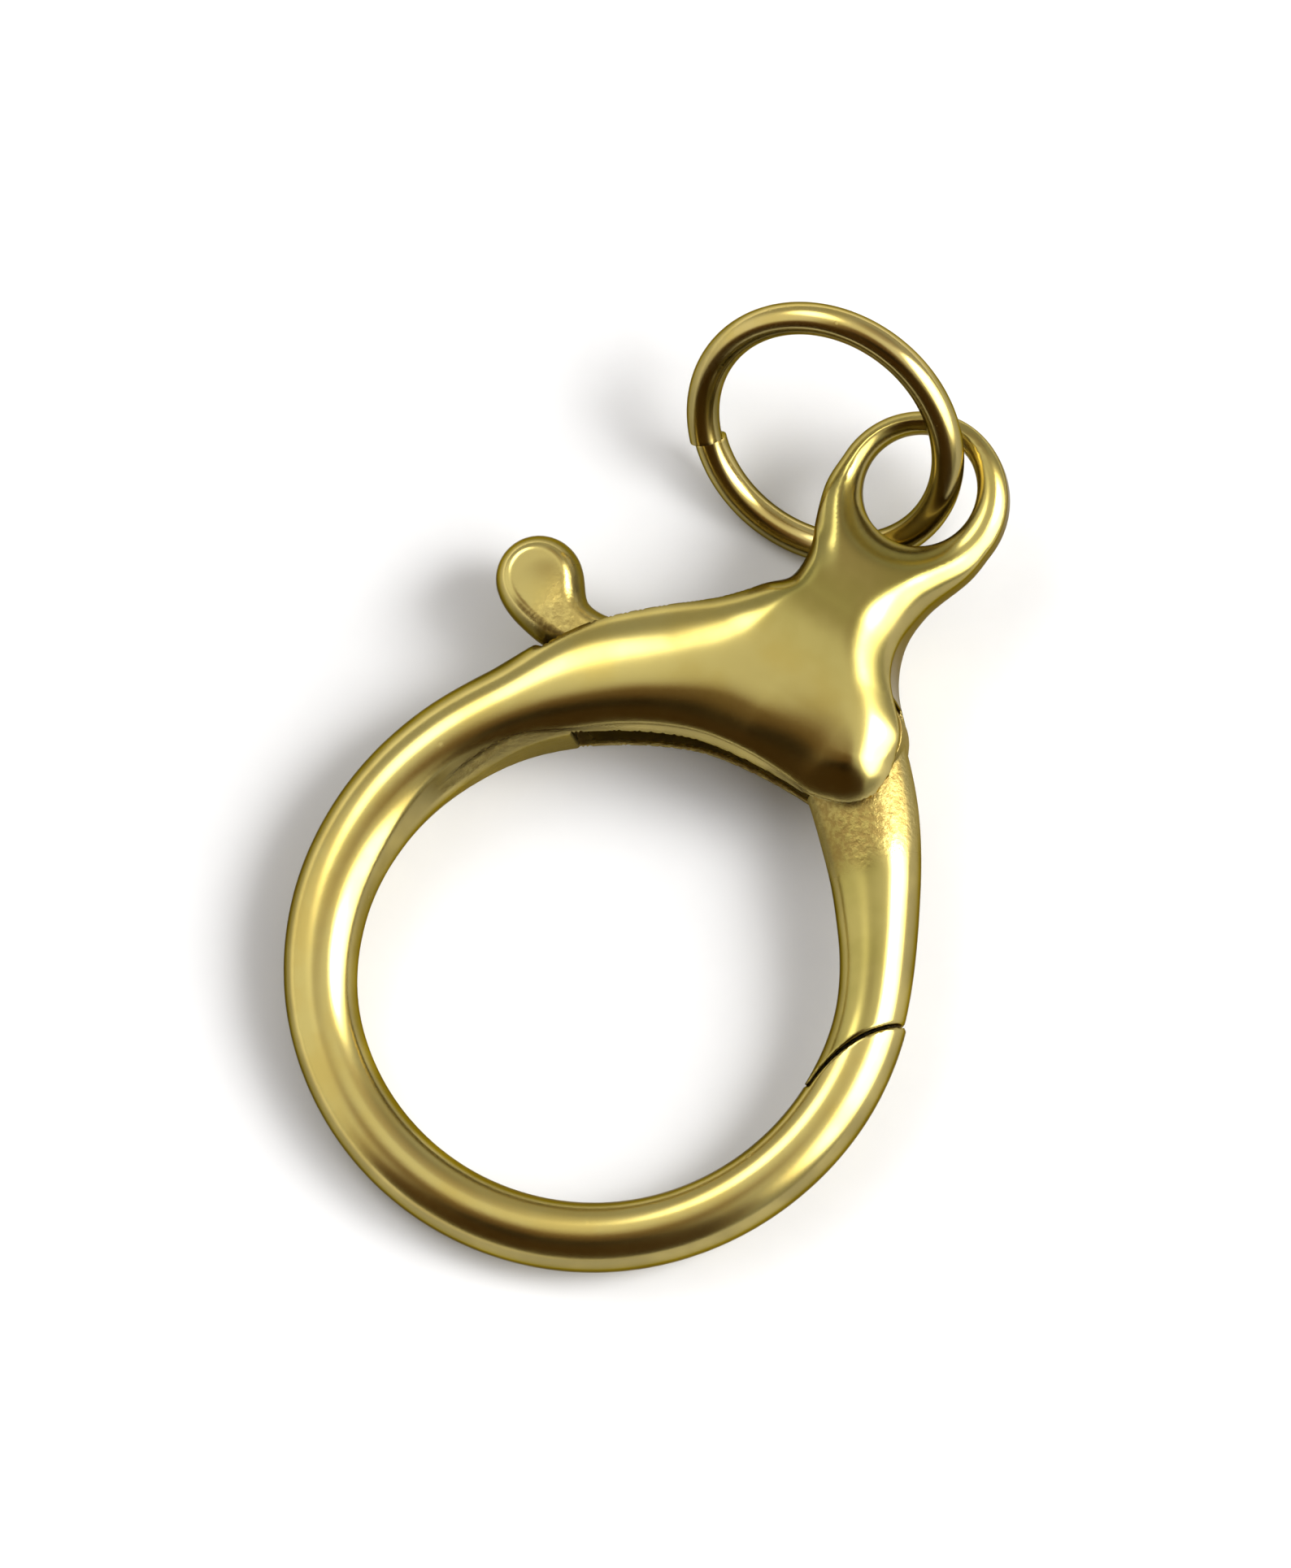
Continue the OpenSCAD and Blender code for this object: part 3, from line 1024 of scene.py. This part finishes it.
    def solid(self, x: Array, y: Array, z: Array) -> Array:
        """Field of the whole casting, with its slot, pin hole and seam cut.

        Args:
            x: Positions along X.
            y: Positions along Y.
            z: Positions along Z.

        Returns:
            The field, negative inside.
        """
        slot = np.maximum(polygon_field(x, y, self.slot_outline), slab_field(z, self.slot_half))
        body = smooth_max(self.body(x, y, z), -slot, self.edge * 0.6)
        hole = np.maximum(disc_field(x, y, self.pivot, self.pin_hole_r), slab_field(z, self.pin_hole_half))
        body = np.maximum(body, -hole)
        x_low, x_high, y_low, y_high = self.tip_block
        block = np.maximum(np.maximum(x_low - x, x - x_high), np.maximum(y_low - y, y - y_high))
        seam = -disc_field(x, y, self.seam_centre, self.seam_r)
        return smooth_max(body, -np.maximum(block, seam), self.edge)

    def build(self) -> bpy.types.Object:
        """Meshes the casting, finer at the head, and marks it for the finish.

        Returns:
            The object.
        """
        coarse, fine = ((self.cell, self.head_cell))
        y_low, head_low, head_high, y_high = self.grid_y
        ys = np.concatenate([grid(y_low, head_low, coarse), grid(head_low, head_high, fine),
                             grid(head_high, y_high, coarse)])
        skin = FieldMesher().skin(self.solid, (grid(*self.grid_x, coarse), ys, grid(*self.grid_z, coarse)))
        return make_object(self.name, skin, self.marks(skin))

    def marks(self, skin: Skin) -> dict[str, Array]:
        """Values for the finish.

        Args:
            skin: The casting's surface.

        Returns:
            Painted shade in hollows, file marks, painted shade on neck and head, and painted shade on faces
            turned sideways, from 0 to 1 for each point.
        """
        x, y, z = skin.points.T
        # Painted shade in hollows, from how little room there is a short way out from the surface
        out = skin.points + skin.normals * self.hollow_reach
        clear = np.clip(self.solid(out[:, 0], out[:, 1], out[:, 2]) / self.hollow_reach, 0.0, 1.0)
        turn = self.turn_at(x, y)
        inner, _, _, lip = self.turns.look_up(turn)
        deep, thin = self.filed_depth
        deep = deep + (thin - deep) * smooth_step(turn, *self.filed_thins_turns)
        wall = smooth_step(inner + deep - np.hypot(x, y), 0.0, self.filed_edge)
        wall = wall * (1 - smooth_step(np.abs(z), *self.filed_z))
        # Painted shade on the neck, fading out up the bail, and some over the head's top
        painted_shade = smooth_step(y, *self.painted_shade_from_y) * (1 - self.painted_shade_fades * smooth_step(y, *self.painted_shade_to_y))
        return {"hollow_shade": 1.0 - smooth_step(clear, *self.hollow_clear),
                "filed": wall * smooth_step(turn, *self.filed_from_turns),
                "painted_shade": painted_shade + (1 - painted_shade) * lip * self.head_painted_shade,
                "side": side_shade_share(skin.normals)}


@dataclass
class GateLever:
    """Gate, lever in the slot, and thumb piece, cast in one."""

    name: str = "trigger_lever"
    cell: float = 0.075
    quick_cell: float = 0.12
    grid_x: Pair = (-10.1, 10.5)
    grid_y: Pair = (0.2, 12.3)
    grid_z: Pair = (-1.5, 1.51)
    half_t: float = 1.2
    seam_centre: Pair = (12.78, 0.33)
    seam_r: float = 4.88
    pivot: Pair = (2.8, 10.4)
    hole_r: float = 0.63
    boss_r: float = 1.5
    edge: float = 0.12
    # Turn up the gate: inner radius, outer radius, half thickness
    gate_slices: tuple = (
        (3, 7.75, 10.0, 1.15), (20, 7.75, 9.98, 1.15), (33, 7.68, 10.06, 1.2), (43, 7.64, 10.3, 1.2),
        (52, 7.72, 10.72, 1.2), (60, 7.86, 11.2, 1.2), (66, 8.05, 11.58, 1.18), (72, 8.3, 12.0, 1.05),
    )
    gate_softness: float = 1.5
    gate_step: float = 0.1
    # Turn from which the gate's own circle is on the far side of the claw, and so doesn't count
    far_turn: float = 120.0
    far_off: float = 10.0
    # Tail from the knob into the slot: place and half width
    tail_slices: tuple = (
        (-8.5, 8.9, 1.1), (-7.8, 8.4, 1.1), (-7.0, 8.2, 0.95),
        (-6.1, 8.25, 0.85), (-5.0, 8.6, 0.8), (-3.8, 9.03, 0.76), (-2.4, 9.3, 0.64),
    )
    tail_softness: float = 0.25
    tail_step: float = 0.125
    thumb_centre: Pair = (-8.5, 8.9)
    thumb_r: float = 1.34
    thumb_rim: float = 0.62
    thumb_half_t: float = 1.18
    thumb_dip: float = 0.03
    thumb_dip_centre: Pair = (-8.05, 8.75)
    thumb_dip_r: float = 0.95
    thumb_blend: float = 0.55
    # Flat plate between tail and pin, thinner towards the tail
    lever_outline: tuple = (
        (-3.4, 8.4), (-1, 8.75), (1.4, 9.1), (2.8, 8.45), (4.3, 9.5),
        (4.0, 10.7), (3.1, 11.8), (1.8, 11.5), (-1, 10.58), (-3.4, 9.78),
    )
    plate_grows: float = 0.02
    plate_thins: float = 0.7
    plate_thins_x: Pair = (-3.6, -1.4)
    joint_blend: float = 0.05
    # Marks for the finish: rough cast skin by the head with painted shade on it, file marks on the tail, and
    # painted shade on the gate's inner part
    rough_turns: Pair = (50.0, 58.0)
    rough_x: Pair = (1.0, 3.0)
    rough_hollow_shade: float = 0.4
    painted_shade_x: Pair = (3.0, 4.0)
    painted_shade_across: Pair = (0.5, 0.8)
    tail_from_x: Pair = (-8.3, -7.3)
    tail_to_x: Pair = (-5.0, -4.0)
    tail_filed: float = 0.45
    rows: SliceTable = field(init=False)
    tail_line: Array = field(init=False)

    def __post_init__(self) -> None:
        """Makes the smooth tables of gate and tail."""
        self.rows = SliceTable(self.gate_slices, self.gate_softness, self.gate_step)
        keyed = [(index, *row) for index, row in enumerate(self.tail_slices)]
        tail = SliceTable(keyed, self.tail_softness, self.tail_step)
        self.tail_line = np.stack(tail.columns, 1)

    def gate(self, x: Array, y: Array, z: Array) -> Array:
        """Field of the curved gate.

        Args:
            x: Positions along X.
            y: Positions along Y.
            z: Positions along Z.

        Returns:
            The field, negative inside.
        """
        r = np.hypot(x, y)
        turn = np.degrees(np.arctan2(y, x))
        inner, outer, half = self.rows.look_up(turn)
        half_w = (outer - inner) / 2
        body = np.hypot((r - inner - half_w) / half_w, z / half)
        body = (body - 1) * np.minimum(half_w, half)
        past = np.maximum(self.gate_slices[0][0] - turn, turn - self.gate_slices[-1][0])
        past = np.where(np.abs(turn) > self.far_turn, self.far_off, past * math.radians(1.0) * r)
        seam = -disc_field(x, y, self.seam_centre, self.seam_r)
        return smooth_max(np.maximum(body, past), seam, self.edge)

    def tail(self, x: Array, y: Array) -> Array:
        """Distance to the tail's outline, a row of circles along a bent line.

        Args:
            x: Positions along X.
            y: Positions along Y.

        Returns:
            The distance, negative inside.
        """
        best = None
        for start, end in zip(self.tail_line[:-1], self.tail_line[1:]):
            run_x, run_y = end[0] - start[0], end[1] - start[1]
            share = np.clip(((x - start[0]) * run_x + (y - start[1]) * run_y) / (run_x**2 + run_y**2), 0, 1)
            half_w = start[2] + share * (end[2] - start[2])
            piece = np.hypot(x - start[0] - share * run_x, y - start[1] - share * run_y) - half_w
            best = piece if best is None else np.minimum(best, piece)
        return best

    def thumb(self, x: Array, y: Array, z: Array) -> Array:
        """Field of the comma-shaped thumb piece, a rounded slab with a shallow dip for the thumb.

        Args:
            x: Positions along X.
            y: Positions along Y.
            z: Positions along Z.

        Returns:
            The field, negative inside.
        """
        knob = disc_field(x, y, self.thumb_centre, self.thumb_r)
        outline = smooth_min(knob, self.tail(x, y), self.thumb_blend)
        in_rim = np.maximum(self.thumb_rim + outline, 0.0) / self.thumb_rim
        from_dip = disc_field(x, y, self.thumb_dip_centre, 0.0)
        dip = bump_at(from_dip, 0.0, self.thumb_dip_r) * self.thumb_dip
        body = np.sqrt(in_rim**2 + (z / (self.thumb_half_t - dip)) ** 2)
        return (body - 1) * self.thumb_rim

    def solid(self, x: Array, y: Array, z: Array) -> Array:
        """Field of the whole lever with its pin hole.

        Args:
            x: Positions along X.
            y: Positions along Y.
            z: Positions along Z.

        Returns:
            The field, negative inside.
        """
        plate_half_t = self.half_t - self.plate_thins * (1 - smooth_step(x, *self.plate_thins_x))
        outline = polygon_field(x, y, self.lever_outline) - self.plate_grows
        plate = np.maximum(outline, slab_field(z, plate_half_t))
        boss = np.maximum(disc_field(x, y, self.pivot, self.boss_r), slab_field(z, self.half_t))
        body = smooth_min(self.thumb(x, y, z), np.minimum(plate, boss), self.joint_blend)
        body = smooth_min(body, self.gate(x, y, z), self.joint_blend)
        return np.maximum(body, -disc_field(x, y, self.pivot, self.hole_r))

    def build(self) -> bpy.types.Object:
        """Meshes the lever and marks it for the finish.

        Returns:
            The object.
        """
        cell = self.cell
        axes = tuple(grid(*ends, cell) for ends in (self.grid_x, self.grid_y, self.grid_z))
        skin = FieldMesher().skin(self.solid, axes)
        return make_object(self.name, skin, self.marks(skin))

    def marks(self, skin: Skin) -> dict[str, Array]:
        """Values for the finish.

        Args:
            skin: The lever's surface.

        Returns:
            Painted shade by the heel, file marks, painted shade on the gate's inner part, and painted shade
            on faces turned sideways, from 0 to 1 for each point.
        """
        x, y, _ = skin.points.T
        turn = np.degrees(np.arctan2(y, x))
        near_head = smooth_step(turn, *self.rough_turns) * smooth_step(x, *self.rough_x)
        inner, outer, _ = self.rows.look_up(turn)
        across = (np.hypot(x, y) - inner) / (outer - inner)
        on_tail = smooth_step(x, *self.tail_from_x) * (1 - smooth_step(x, *self.tail_to_x))
        # Painted shade by the heel and over the gate's inner part; file marks by the heel and on the tail
        return {"hollow_shade": near_head * self.rough_hollow_shade,
                "filed": np.maximum(near_head, on_tail * self.tail_filed),
                "painted_shade": smooth_step(x, *self.painted_shade_x) * (1 - smooth_step(across, *self.painted_shade_across)),
                "side": side_shade_share(skin.normals)}


@dataclass
class JumpRing:
    """Open ring of round wire, slanting from the floor up over the bail."""

    name: str = "wire_ring"
    wire_r: float = 0.52
    mean_r: float = 4.15
    slant_deg: float = 46.5
    heading_deg: float = -82.2
    centre: Pair = (-3.58, 12.15)
    joint_deg: float = 303.0
    gap: float = 0.1
    ends_apart: float = 0.28
    bend_power: float = 5.0
    along: int = 220
    around: int = 40
    sharp_deg: float = 50.0

    def sizes(self) -> dict[str, float]:
        """Sizes that the node tree takes, by the names of its inputs."""
        return {"Ring radius": self.mean_r, "Wire radius": self.wire_r, "Gap": self.gap,
                "Ends apart": self.ends_apart}

    def tree(self, finish: bpy.types.Material) -> bpy.types.NodeTree:
        """Node tree of the ring: an arc, its ends set apart, and wire along it.

        Args:
            finish: Material of the wire.

        Returns:
            The tree, with the ring's sizes as its inputs.
        """
        tree = bpy.data.node_groups.new("bent_wire_ring", "GeometryNodeTree")
        for name, value in self.sizes().items():
            socket = tree.interface.new_socket(name, in_out="INPUT", socket_type="NodeSocketFloat")
            socket.default_value = value
        tree.interface.new_socket("Geometry", in_out="OUTPUT", socket_type="NodeSocketGeometry")
        graph = Graph(tree)
        entry = tree.nodes.new("NodeGroupInput")
        ring_r, wire_r, gap, apart = (Wire(graph, entry.outputs[name]) for name in self.sizes())
        sweep = 2 * math.pi - gap / ring_r
        arc = graph.add("GeometryNodeCurveArc", {"mode": "RADIUS"}, {
            "Resolution": self.along, "Radius": ring_r, "Start Angle": 0.0, "Sweep Angle": sweep})
        share = graph.add("GeometryNodeSplineParameter", out="Factor")
        from_middle = share * 2.0 - 1.0
        lift = from_middle ** self.bend_power * apart * 0.5
        offset = graph.add("ShaderNodeCombineXYZ", None, {"Z": lift})
        bent = graph.add("GeometryNodeSetPosition", None, {"Geometry": arc, "Offset": offset})
        round_wire = graph.add("GeometryNodeCurvePrimitiveCircle", {"mode": "RADIUS"}, {
            "Resolution": self.around, "Radius": wire_r})
        wire = graph.add("GeometryNodeCurveToMesh", None, {
            "Curve": bent, "Profile Curve": round_wire, "Fill Caps": True})
        realized = graph.add("GeometryNodeRealizeInstances", None, {"Geometry": wire})
        dressed = graph.add("GeometryNodeSetMaterial", None, {"Geometry": realized, "Material": finish})
        leave = tree.nodes.new("NodeGroupOutput")
        tree.links.new(dressed.socket, leave.inputs[0])
        return tree

    def build(self, finish: bpy.types.Material) -> bpy.types.Object:
        """Grows the ring from its tree and lays it over the bail.

        Args:
            finish: Material of the wire.

        Returns:
            The object, a plain mesh.
        """
        seed = add_object(self.name + "_seed", bpy.data.meshes.new(self.name + "_seed"))
        modifier = seed.modifiers.new("wire", "NODES")
        modifier.node_group = self.tree(finish)
        sizes = self.sizes()
        for item in modifier.node_group.interface.items_tree:
            if item.in_out == "INPUT" and item.name in sizes:
                modifier[item.identifier] = sizes[item.name]
        graph = bpy.context.evaluated_depsgraph_get()
        mesh = bpy.data.meshes.new_from_object(seed.evaluated_get(graph))
        bpy.data.objects.remove(seed)
        lift = self.mean_r * math.sin(math.radians(self.slant_deg)) + self.wire_r
        place = Matrix.Scale(MM, 4) @ Matrix.Translation(Vector((*self.centre, lift)))
        place = place @ Matrix.Rotation(math.radians(self.heading_deg), 4, "Z")
        place = place @ Matrix.Rotation(math.radians(self.slant_deg), 4, "Y")
        place = place @ Matrix.Rotation(math.radians(self.joint_deg), 4, "Z")
        mesh.transform(place)
        mesh.shade_smooth()
        mesh.set_sharp_from_angle(angle=math.radians(self.sharp_deg))
        # Painted shade on the wire where it faces sideways or down
        mark_points(mesh, "side", side_shade_share(np.array([vertex.normal for vertex in mesh.vertices])))
        mesh.name = self.name
        return add_object(self.name, mesh)


# Studio


@dataclass(frozen=True)
class Glow:
    """A soft light far away: where it is seen, how wide it is and how bright."""

    azimuth_deg: float
    zenith_deg: float
    inner_deg: float
    outer_deg: float
    strength: float

    def direction(self, floor_turn_deg: float) -> tuple[float, float, float]:
        """Direction towards the light.

        Args:
            floor_turn_deg: How far the view is turned against the model's frame.

        Returns:
            The direction in the model's frame.
        """
        azimuth = math.radians(self.azimuth_deg + floor_turn_deg)
        zenith = math.radians(self.zenith_deg)
        return (math.sin(zenith) * math.cos(azimuth), math.sin(zenith) * math.sin(azimuth), math.cos(zenith))


@dataclass
class Studio:
    """Camera, white floor and soft lights. Azimuths count from the right of the view."""

    floor_turn_deg: float = 34.6
    view_lean: Pair = (0.062, -0.218)
    aim_from: tuple[float, float, float] = (0.0, -5.55, 1.78)
    aim_right: float = 1.513
    aim_up: float = 5.526
    seen_width: float = 40.718
    distance: float = 1500.0
    sensor_width: float = 36.0
    clip_start: float = 0.01
    floor_half: float = 1.5
    floor_drop: float = 0.00001
    ambient: float = 0.335
    room: tuple[Glow, ...] = (
        Glow(92.0, 14.0, 8.0, 52.0, 0.33),
        Glow(182.0, 62.0, 12.0, 46.0, 0.4),
    )
    lamps: tuple[Glow, ...] = (
        Glow(-12.0, 57.0, 20.0, 35.0, 4.1),
        Glow(4.0, 47.0, 6.0, 16.0, 9.5),
        Glow(136.0, 41.0, 6.0, 20.0, 2.9),
    )
    shades: tuple[Glow, ...] = (
        Glow(-106.0, 70.0, 35.0, 49.0, 0.89),
        Glow(-122.0, 25.0, 10.0, 28.0, 0.8),
        Glow(58.0, 43.0, 5.0, 27.0, 0.42),
    )
    # How much green and blue a full shade takes out, and how slowly a light shade does
    shade_tint: Pair = (0.68, 1.2)
    shade_tint_power: float = 2.0

    def camera(self) -> None:
        """Sets the camera at the photograph's angle."""
        view = Vector((*self.view_lean, math.sqrt(1 - sum(lean * lean for lean in self.view_lean))))
        right = (Vector((1, 0, 0)) - view.x * view).normalized()
        turn = Matrix.Rotation(math.radians(self.floor_turn_deg), 3, "Z")
        view, right = turn @ view, turn @ right
        up = view.cross(right)
        aim = Vector(self.aim_from) + self.aim_right * right + self.aim_up * up
        place = aim + self.distance * view
        data = bpy.data.cameras.new("camera")
        data.sensor_fit = "HORIZONTAL"
        data.sensor_width = self.sensor_width
        data.lens = self.sensor_width * self.distance / self.seen_width
        data.clip_start = self.clip_start
        camera = add_object("camera", data)
        rows = Matrix((right, up, view)).transposed().to_4x4()
        camera.matrix_world = Matrix.Translation(place * MM) @ rows
        bpy.context.scene.camera = camera

    def floor(self) -> None:
        """Lays the white floor."""
        half = self.floor_half
        mesh = bpy.data.meshes.new("floor")
        mesh.from_pydata([(-half, -half, 0), (half, -half, 0), (half, half, 0), (-half, half, 0)],
                         [], [(0, 1, 2, 3)])
        mesh.materials.append(FloorFinish().material())
        floor = add_object("floor", mesh)
        floor.location.z = -self.floor_drop

    def lights(self) -> None:
        """Surrounds the clasp with soft light, darker towards the bottom of the view."""
        world = bpy.data.worlds.new("soft_studio")
        bpy.context.scene.world = world
        graph = blank_tree(world)
        way = graph.add("ShaderNodeTexCoord", out="Generated")
        open_share = None
        for shade in self.shades:
            left = 1.0 - self.share_near(graph, way, shade) * shade.strength
            open_share = left if open_share is None else open_share * left
        room = self.ambient
        for glow in self.room:
            room = room + self.share_near(graph, way, glow) * glow.strength
        light = open_share * room
        for glow in self.lamps:
            light = light + self.share_near(graph, way, glow) * glow.strength
        dim = (1.0 - open_share) ** self.shade_tint_power
        green, blue = (light * (1.0 - dim * taken) for taken in self.shade_tint)
        colour = graph.add("ShaderNodeCombineColor", None, {0: light, 1: green, 2: blue})
        sky = graph.add("ShaderNodeBackground", None, {"Color": colour, "Strength": 1.0})
        graph.add("ShaderNodeOutputWorld", None, {"Surface": sky})

    def share_near(self, graph: Graph, way: Wire, glow: Glow) -> Wire:
        """How much of a soft light is seen in a direction.

        Args:
            graph: Tree of the surroundings.
            way: The direction.
            glow: The light.

        Returns:
            One inside the light, nothing outside it.
        """
        nearness = graph.add("ShaderNodeVectorMath", {"operation": "DOT_PRODUCT"}, {
            0: way, 1: glow.direction(self.floor_turn_deg)}, out="Value")
        return graph.spread(nearness, math.cos(math.radians(glow.outer_deg)),
                            math.cos(math.radians(glow.inner_deg)))

    def build(self) -> None:
        """Sets up camera, floor, lights and the plain view of their tones."""
        self.camera()
        self.floor()
        self.lights()
        bpy.context.scene.view_settings.view_transform = "Standard"
        LOG.info("studio: camera, floor and lights")


class Body(Enum):
    """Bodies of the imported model."""

    CLASP = "clasp"
    LEVER = "lever"


def report(piece: bpy.types.Object) -> None:
    """Logs a piece and its size."""
    LOG.info("%s: %d faces", piece.name, len(piece.data.polygons))


def main() -> None:
    """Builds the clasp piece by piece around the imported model."""
    logging.basicConfig(level=logging.INFO, format="%(message)s")
    Studio().build()
    cast_brass = BrassFinish("polished_brass").material()
    wire_brass = BrassFinish("wire_brass", metal=(0.84, 0.66, 0.24), gloss_rough=0.19, uses_marks=False,
                             wave_depth=0.000003, pit_per_m=2600.0, pit_picks=(0.52, 0.62)).material()
    pin_brass = BrassFinish("pin_brass", gloss_rough=0.25, uses_marks=False).material()

    casting = Casting().build()
    casting.data.materials.append(cast_brass)
    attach(casting, Body.CLASP.value)
    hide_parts("clasp_body")
    report(casting)

    lever = GateLever().build()
    lever.data.materials.append(cast_brass)
    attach(lever, Body.LEVER.value)
    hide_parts("gate_lever")
    report(lever)

    ring = JumpRing().build(wire_brass)
    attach(ring, Body.CLASP.value)
    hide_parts("jump_ring")
    report(ring)

    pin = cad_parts["pivot_pin"]
    pin.data.materials.clear()
    pin.data.materials.append(pin_brass)
    report(pin)


if __name__ == "__main__":
    main()
